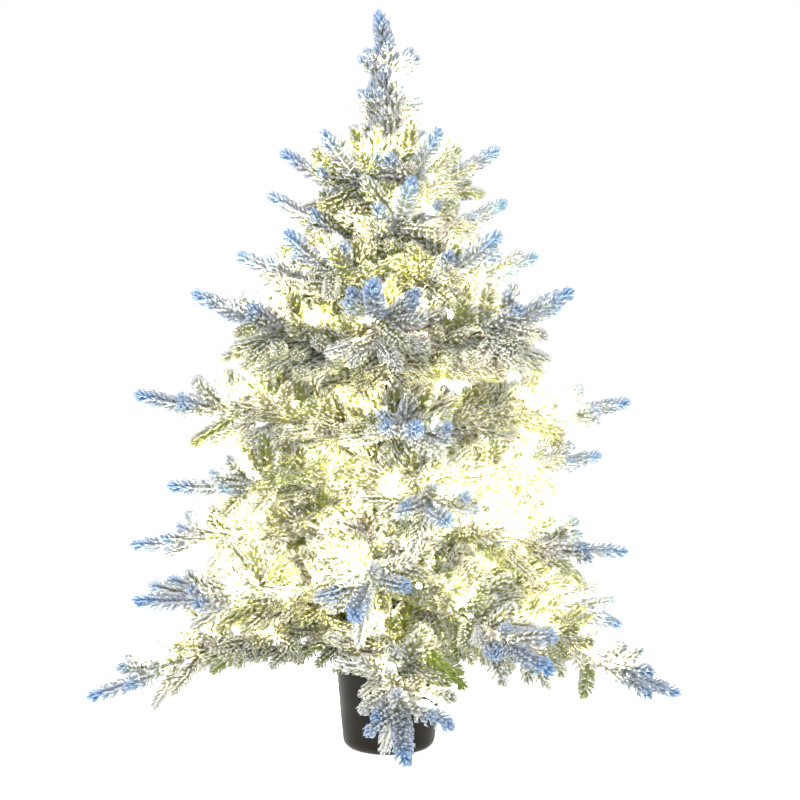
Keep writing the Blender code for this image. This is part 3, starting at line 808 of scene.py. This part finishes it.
def windLights(line, dice, shares, wind=branchLead["wind"], aim=aimAside):
    # a thin lead that winds loosely along a wire, with a socket and bulb at each share of its length
    total = lineLength(line)
    phase = dice.uniform(0, math.tau)
    stops = {}
    wires = []
    lenses = []
    for share in shares:
        place, along = onLine(line, total * share)
        direction = aim(along, dice)
        away = dice.uniform(*bulb["away"])
        stand = standing(place + direction * away, direction, up)
        wires.append(copyOf(patterns["socket"], stand))
        lenses.append(copyOf(patterns["lens"], stand))
        stops[total * share] = place + direction * (away - bulb["socketLength"] + 0.0008)
    points = []
    distance = branchLead["start"]
    last = total * max(shares)
    while distance < last + branchLead["step"]:
        near = [stop for stop in stops if abs(stop - distance) <= branchLead["step"] / 2]
        if near:
            points.append(stops[near[0]])
        else:
            place, along = onLine(line, distance)
            lateral, upward = sidesOf(along)
            turn = phase + math.tau * distance / branchLead["turn"]
            away = wind * (1.0 + 0.5 * math.sin(distance * 90 + phase))
            points.append(place + (lateral * math.cos(turn) + upward * math.sin(turn)) * away)
        distance += branchLead["step"]
    wires.append(tubeThrough("lightWire", smoothed(points), branchLead["wire"]))
    return wires, lenses


def finishLights(name, wires, lenses, body):
    cable = joinAs(f"lightLead_{name}", wires)
    coat(cable, materials["paleCable"])
    lights = joinAs(f"bulbs_{name}", lenses)
    coat(lights, materials["glowingLens"])
    for thing in (cable, lights):
        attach(thing, body)


speckledCoats = {
    "potPlastic": {
        "base": (0.008, 0.0062, 0.0045), "worn": (0.016, 0.0125, 0.009),
        "grain": 1600.0, "blotch": 30.0, "wear": 0.5, "bump": 0.05, "Specular_IOR_Level": 0.16,
    },
    "castCement": {
        "base": (0.30, 0.29, 0.27), "worn": (0.46, 0.45, 0.42),
        "grain": 500.0, "blotch": 60.0, "wear": 0.8, "bump": 0.6, "rough": 0.95,
    },
    "zincSteel": {
        "base": (0.45, 0.46, 0.47), "worn": (0.30, 0.31, 0.32),
        "grain": 1200.0, "blotch": 90.0, "wear": 0.6, "bump": 0.1, "metallic": 1.0,
    },
    "polePaint": {
        "base": (0.035, 0.075, 0.035), "worn": (0.10, 0.12, 0.07),
        "grain": 900.0, "blotch": 70.0, "wear": 0.5, "bump": 0.15, "metallic": 0.2,
    },
    "hubPlastic": {
        "base": (0.030, 0.060, 0.030), "worn": (0.08, 0.10, 0.06),
        "grain": 1100.0, "blotch": 80.0, "wear": 0.4, "bump": 0.15,
    },
    "greenTape": {
        "base": (0.075, 0.095, 0.030), "worn": (0.62, 0.64, 0.58),
        "grain": 1300.0, "blotch": 160.0, "wear": 0.9, "bump": 0.5, "rough": 0.85,
    },
    "paleCable": {
        "base": (0.74, 0.76, 0.70), "worn": (0.60, 0.62, 0.56),
        "grain": 900.0, "blotch": 60.0, "wear": 0.5, "bump": 0.1,
    },
}


def makeMaterials():
    speckle = makeSpeckle()
    made = {name: speckled(name, speckle, **values) for name, values in speckledCoats.items()}
    made["flockedNeedles"] = flockedNeedles(makeFlocking())
    made["glowingLens"] = glowingLens()
    return made


nodeCoats = {
    "pole": "polePaint",
    "pole_socket": "zincSteel",
    "ballast": "castCement",
    "light_lead": "paleCable",
    "inlet_plug": "paleCable",
}


def coatFrame():
    for node, held in frame["nodes"].items():
        if node.startswith("stem_"):
            coat(held, materials["greenTape"])
        elif node.startswith("hub_"):
            coat(held, materials["hubPlastic"])
    for node, name in nodeCoats.items():
        coat(frame["nodes"][node], materials[name])


pot = {"sides": 96, "wall": 0.0025, "foot": 0.057, "top": 0.067, "corner": 0.012, "lip": 0.0012}


def roundedFoot(foot, corner, floor, angles):
    # radius and height of each ring of a rounded corner above a flat floor
    for degrees in angles:
        angle = math.radians(degrees)
        yield foot - corner * (1 - math.sin(angle)), floor + corner * (1 - math.cos(angle))


def potRings():
    # outer foot, tapered wall, rolled lip, inner wall and inner foot
    foot, top, wall, corner, lip = (pot[name] for name in ("foot", "top", "wall", "corner", "lip"))
    rings = list(roundedFoot(foot, corner, 0.0, range(15, 91, 15)))
    for share in (0.25, 0.5, 0.75, 0.96):
        z = corner + (rim - corner) * share
        rings.append((foot + (top - foot) * z / rim, z))
    rings.append((top, rim - lip))
    rings.append((top - lip * 0.35, rim - lip * 0.25))
    rings.append((top - wall / 2, rim))
    rings.append((top - wall + lip * 0.35, rim - lip * 0.25))
    rings.append((top - wall, rim - lip))
    return rings + list(roundedFoot(foot - wall, corner - wall, wall, range(90, -1, -15)))


def makePot():
    # a disc drawn up ring by ring
    radius = pot["foot"] - pot["corner"]
    clearSelection()
    bpy.ops.mesh.primitive_circle_add(vertices=pot["sides"], radius=radius, fill_type="NGON")
    shell = bpy.context.object
    bpy.ops.object.mode_set(mode="EDIT")
    bpy.ops.mesh.select_all(action="SELECT")
    bpy.ops.mesh.duplicate()
    bpy.ops.mesh.flip_normals()
    level = 0.0
    for wide, z in potRings():
        bpy.ops.mesh.extrude_region_move(TRANSFORM_OT_translate={"value": (0, 0, z - level)})
        factor = wide / radius
        bpy.ops.transform.resize(value=(factor, factor, 1.0), center_override=(0, 0, z))
        radius = wide
        level = z
    bpy.ops.mesh.select_all(action="SELECT")
    bpy.ops.mesh.remove_doubles(threshold=0.000002)
    bpy.ops.mesh.normals_make_consistent(inside=False)
    leaveEdit()
    bpy.ops.object.shade_smooth_by_angle(angle=math.radians(50))
    shell.name = "potShell"
    coat(shell, materials["potPlastic"])
    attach(shell, "pot")
    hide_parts("pot")


# one sprig of the front branch that the flock has missed
plainSprig = {
    "branch": "1_4",
    "root": (0.030, -0.165, 0.160),
    "direction": (0.50, -0.45, -0.46),
    "kind": "long",
    "tint": 2.6,
}


def dressBranches():
    for name, joint in joints.items():
        if not name.startswith("branch_"):
            continue
        number = name.removeprefix("branch_").removesuffix("_fold")
        hinge = Vector(joint["pos_m"])
        outward = Vector((-joint["axis"][1], joint["axis"][0], 0.0))
        line = wireLine(f"stem_{number}", hinge, outward)
        seed = sum(ord(letter) * (place + 3) for place, letter in enumerate(number))
        dice = random.Random(seed)
        body = f"branch_{number}"
        things = growSpray(line, dice, branchSpray)
        if number == plainSprig["branch"]:
            root = Vector(plainSprig["root"])
            direction = Vector(plainSprig["direction"])
            things.append(placeSprig(plainSprig["kind"], root, direction, up, 1.0, 0.0, plainSprig["tint"]))
        finishFoliage(f"sprays_{number}", things, body, [f"foliage_{number}"])
        count = bulb["many"] if number in bulb["crowded"] else bulb["few"]
        places = [(light + dice.uniform(0.2, 0.8)) / count for light in range(count)]
        shares = [bulb["first"] + bulb["along"] * place for place in places]
        finishLights(number, *windLights(line, dice, shares), body)
        print("branch", number, "dressed,", len(things), "sprigs")


rodRadius = {"rod": 0.0055, "topRod": 0.003, "sleeve": 0.004}
# each ring of fixed arms: height above the rim, what it is tied to, azimuths, length, slope at rod and end
armRings = {
    "whorl_6": [(0.325, "rod", (27, 87, 147, 207, 267, 327), 0.262, 30.0, 12.0)],
    "whorl_7": [(0.400, "rod", (21, 93, 165, 237, 309), 0.212, 30.0, 14.0)],
    "whorl_8": [(0.470, "topRod", (12, 102, 192, 282), 0.164, 34.0, 18.0)],
    "crown": [
        (0.530, "sleeve", (177, 237, 297, 357, 117), 0.150, 36.0, 20.0),
        (0.585, "sleeve", (27, 117, 207, 297), 0.072, 44.0, 36.0),
        (0.642, "sleeve", (57, 177, 297), 0.058, 48.0, 40.0),
        (0.694, "sleeve", (27, 147, 267), 0.052, 52.0, 44.0),
    ],
}
# a wire arm stops short of its end sprig, and a shorter arm than "shortest" has no wire
armWire = {"radius": 0.0013, "tip": 0.064, "shortest": 0.1, "root": 0.002}
# shares of an arm's length that carry a bulb, on the first arm of a ring and on the next, and so on in turn
armBulbs = ((0.16, 0.40, 0.64, 0.86), (0.26, 0.50, 0.74, 0.95))
binding = {"turns": 5, "height": 0.010, "sides": 12, "gap": 0.0006, "thick": 0.8}


def armStub(start, outward, rise, length, dice):
    # a short arm is one sprig with two beside it
    things = []
    lateral = up.cross(outward)
    for spread, share in ((0, 1.0), (42, 0.8), (-42, 0.8)):
        slope = math.radians(rise + dice.uniform(-5, 5))
        along = outward * math.cos(slope) + up * math.sin(slope)
        upward = along.cross(lateral)
        direction = turnedFrom(along, lateral, upward, spread, dice.uniform(-4, 8))
        kind = kindFor(length * share + 0.002)
        scale = min(1.0, length * share / sprigKinds[kind][0])
        root = start + along * 0.004
        things.append(placeSprig(kind, root, direction, up, scale, 0.75, 0.3 * dice.random()))
    return things


def rodBinding(height, rod):
    # the wire binding that ties a ring of arms to the rod
    points = []
    steps = binding["turns"] * binding["sides"]
    away = rod + armWire["radius"] + binding["gap"]
    for step in range(steps + 1):
        turn = math.tau * step / binding["sides"]
        z = height - binding["height"] / 2 + binding["height"] * step / steps
        points.append(Vector((away * math.cos(turn), away * math.sin(turn), z)))
    return tubeThrough("binding", points, armWire["radius"] * binding["thick"])


def dressArms():
    # a whorl's foliage is one piece for each arm, and the crown's is one piece in all
    for node, rings in armRings.items():
        dice = random.Random(len(node) + int(rings[0][0] * 1000))
        crownSprigs = []
        wires = []
        leads = []
        lenses = []
        for above, tiedTo, azimuths, length, rise, end in rings:
            height = rim + above
            rod = rodRadius[tiedTo]
            short = length < armWire["shortest"]
            if not short:
                wires.append(rodBinding(height, rod))
            for arm, azimuth in enumerate(azimuths):
                outward = outwardAt(azimuth)
                start = outward * (rod + armWire["root"]) + up * height
                if short:
                    crownSprigs += armStub(start, outward, rise, length, dice)
                    continue
                line = bentLine(start, outward, rise, end, length - armWire["tip"])
                wires.append(tubeThrough("arm", line, armWire["radius"]))
                armSprigs = growSpray(line, dice, armSpray)
                if node == "whorl_6":
                    armSprigs += hangFans(line, dice)
                if node == "crown":
                    crownSprigs += armSprigs
                else:
                    finishFoliage(f"sprays_{node}_{arm + 1}", armSprigs, "trunk", [node])
                shares = armBulbs[arm % 2]
                if node != "whorl_6":
                    # a shorter arm has three bulbs
                    shares = shares[::2] + shares[3:]
                cables, bulbs = windLights(line, dice, shares)
                leads += cables
                lenses += bulbs
        if node == "crown":
            crownSprigs += leaderSprigs(dice)
            cables, bulbs = lightCrown(dice)
            leads += cables
            lenses += bulbs
            finishFoliage(f"sprays_{node}", crownSprigs, "trunk", [node])
        finishLights(node, leads, lenses, "trunk")
        bound = joinAs(f"armWires_{node}", wires)
        coat(bound, materials["greenTape"])
        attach(bound, "trunk")
        print(node, "dressed")


leader = {
    "scale": 1.12,
    "below": 0.003,
    "lean": (-0.12, 0.0, 1.0),
    "fill": 34,
    "lights": (0.30, 0.62, 0.97),
    "lowest": 0.535,
}
# the middle of a loop of lead that stands out of the crown, its half width and height, and how far it leans
crownLoop = {
    "place": (-0.036, -0.012, 0.787),
    "half": (0.017, 0.011),
    "depth": 0.006,
    "lean": 0.35,
    "steps": 12,
}


def lightCrown(dice):
    # the light string runs up the leader's rod, and one loop of its lead stands out at the left
    top = cadBounds[1][2] - leader["scale"] * sprigKinds["middle"][0]
    line = [Vector((0.003, -0.003, rim + leader["lowest"])), Vector((-0.003, -0.004, top))]
    cables, lenses = windLights(line, dice, leader["lights"])
    middle = Vector(crownLoop["place"])
    loop = []
    for step in range(crownLoop["steps"] + 1):
        turn = math.radians(-20 + 320 * step / crownLoop["steps"])
        wide = crownLoop["half"][0] * math.cos(turn)
        deep = crownLoop["depth"] * math.sin(turn)
        high = crownLoop["half"][1] * math.sin(turn)
        loop.append(middle + Vector((wide, deep, high + crownLoop["lean"] * wide)))
    loop = [Vector((-0.004, -0.004, loop[0].z))] + loop + [Vector((-0.004, -0.004, loop[-1].z - 0.006))]
    cables.append(tubeThrough("crownLoop", smoothed(loop), branchLead["wire"]))
    return cables, lenses


def leaderSprigs(dice):
    # the upright end of the tree and the sprigs that hide its rod
    front = Vector((0, -1, 0))
    top = cadBounds[1][2] - leader["scale"] * sprigKinds["middle"][0] - leader["below"]
    things = [placeSprig("middle", up * top, Vector(leader["lean"]), front, leader["scale"], 1.0, 0.0)]
    foot = rim + armRings["crown"][0][0]
    for step in range(leader["fill"]):
        share = step / leader["fill"]
        outward = outwardAt(step * goldenTurn)
        height = foot + (top - foot) * share
        direction = (up * (0.9 + 0.9 * share) + outward).normalized()
        kind = "short" if share < 0.7 else "stub"
        root = outward * 0.003 + up * height
        things.append(placeSprig(kind, root, direction, up, 0.96, 0.25 + 0.6 * share, 0.5 * dice.random()))
    return things


trunkFill = {"count": 80, "low": 0.030, "high": 0.50, "radius": 0.010, "slope": (8, 48), "seed": 41}
# leads that run up beside the pole, clear of the hubs and between the branches
trunkLead = {
    "azimuths": (147.0, 237.0, 327.0),
    "away": 0.026,
    "low": 0.03,
    "high": 0.31,
    "narrows": 0.002,
    "wind": 0.0015,
    "bulbs": 4,
}


def aimFrom(outward):
    # a bulb points away from the pole, level or a little up or down
    def aim(along, dice):
        return (outward + along * dice.uniform(-0.3, 0.7)).normalized()

    return aim


def lightTrunk(dice):
    cables = []
    lenses = []
    count = trunkLead["bulbs"]
    for azimuth in trunkLead["azimuths"]:
        outward = outwardAt(azimuth)
        foot = outward * trunkLead["away"] + up * (rim + trunkLead["low"])
        rise = trunkLead["high"] - trunkLead["low"]
        line = [foot, foot + up * rise - outward * trunkLead["narrows"]]
        shares = [(light + dice.uniform(0.3, 0.8)) / count for light in range(count)]
        wires, bulbs = windLights(line, dice, shares, trunkLead["wind"], aimFrom(outward))
        cables += wires
        lenses += bulbs
    finishLights("trunk", cables, lenses, "trunk")


def dressTrunk():
    # short sprigs tied to the pole between the rings of branches
    dice = random.Random(trunkFill["seed"])
    things = []
    for step in range(trunkFill["count"]):
        outward = outwardAt(step * goldenTurn)
        height = rim + trunkFill["low"] + (trunkFill["high"] - trunkFill["low"]) * step / trunkFill["count"]
        root = outward * trunkFill["radius"] + up * height
        slope = math.radians(dice.uniform(*trunkFill["slope"]))
        direction = outward * math.cos(slope) + up * math.sin(slope)
        kind = dice.choice(("middle", "short", "long"))
        things.append(placeSprig(kind, root, direction, up, 1.0, 0.0, dice.random()))
    finishFoliage("sprays_trunk", things, "trunk")
    lightTrunk(dice)
    print("trunk dressed,", len(things), "sprigs")


plainWhite = (1.0, 1.0, 1.0)
studio = {
    "cameraPlace": (0.0137, -1.628, 0.428),
    "lens": 59.04,
    "ambientTint": (0.95, 0.97, 1.0),
    "ambient": 1.0,
    "backdrop": 1.0,
    "floor": 6.0,
    "floorTint": (0.9, 0.9, 0.9),
    "floorGlow": 0.80,
    # name, place, aim, size and power
    "lights": (
        ("key", (-1.2, -1.6, 1.7), (0, 0, 0.45), (1.2, 1.2), 14.0),
        ("side", (-1.3, -0.35, 0.35), (0, 0, 0.1), (0.12, 0.9), 3.0),
    ),
}


def makeCamera():
    data = bpy.data.cameras.new("camera")
    data.lens = studio["lens"]
    data.sensor_width = 36.0
    made = bpy.data.objects.new("camera", data)
    made.location = studio["cameraPlace"]
    made.rotation_euler = (math.radians(90), 0, 0)
    bpy.context.scene.collection.objects.link(made)
    bpy.context.scene.camera = made


def areaLight(name, place, aim, size, power):
    data = bpy.data.lights.new(name, "AREA")
    data.shape = "RECTANGLE"
    data.size, data.size_y = size
    data.energy = power
    data.color = plainWhite
    made = bpy.data.objects.new(name, data)
    made.location = place
    made.rotation_euler = (Vector(aim) - Vector(place)).to_track_quat("-Z", "Y").to_euler()
    bpy.context.scene.collection.objects.link(made)


def makeStudio():
    world = bpy.data.worlds.new("studio")
    world.use_nodes = True
    tree = world.node_tree
    soft = tree.nodes["Background"]
    soft.inputs["Color"].default_value = (*studio["ambientTint"], 1.0)
    soft.inputs["Strength"].default_value = studio["ambient"]
    seen = addNode(tree, "ShaderNodeBackground")
    seen.inputs["Color"].default_value = (*plainWhite, 1.0)
    seen.inputs["Strength"].default_value = studio["backdrop"]
    ray = addNode(tree, "ShaderNodeLightPath")
    blend = addNode(tree, "ShaderNodeMixShader")
    tree.links.new(ray.outputs["Is Camera Ray"], blend.inputs[0])
    tree.links.new(soft.outputs[0], blend.inputs[1])
    tree.links.new(seen.outputs[0], blend.inputs[2])
    tree.links.new(blend.outputs[0], tree.nodes["World Output"].inputs["Surface"])
    bpy.context.scene.world = world
    clearSelection()
    bpy.ops.mesh.primitive_plane_add(size=studio["floor"], location=(0, 0, -0.0005))
    floor = bpy.context.object
    floor.name = "floor"
    material, _, shader = principled("paleFloor", 0.8)
    shader.inputs["Base Color"].default_value = (*studio["floorTint"], 1.0)
    shader.inputs["Emission Color"].default_value = (*plainWhite, 1.0)
    shader.inputs["Emission Strength"].default_value = studio["floorGlow"]
    coat(floor, material)
    for light in studio["lights"]:
        areaLight(*light)
    bpy.context.scene.view_settings.view_transform = "Standard"


makeCamera()
makeStudio()
print("studio ready")
materials = makeMaterials()
coatFrame()
makePot()
print("pot ready")
needlePattern = makeNeedle()
sprigs = {kind: makeSprig(kind, needlePattern) for kind in sprigKinds}
patterns = {"lens": makeLens(), "socket": makeSocket()}
print("patterns ready,", {kind: len(thing.data.polygons) for kind, thing in sprigs.items()}, "faces")
dressBranches()
dressArms()
dressTrunk()
for pattern in (needlePattern, *sprigs.values(), *patterns.values()):
    bpy.data.objects.remove(pattern)
meshes = [thing.data for thing in bpy.data.objects if thing.type == "MESH"]
print("triangles", sum(len(mesh.loops) - 2 * len(mesh.polygons) for mesh in meshes))
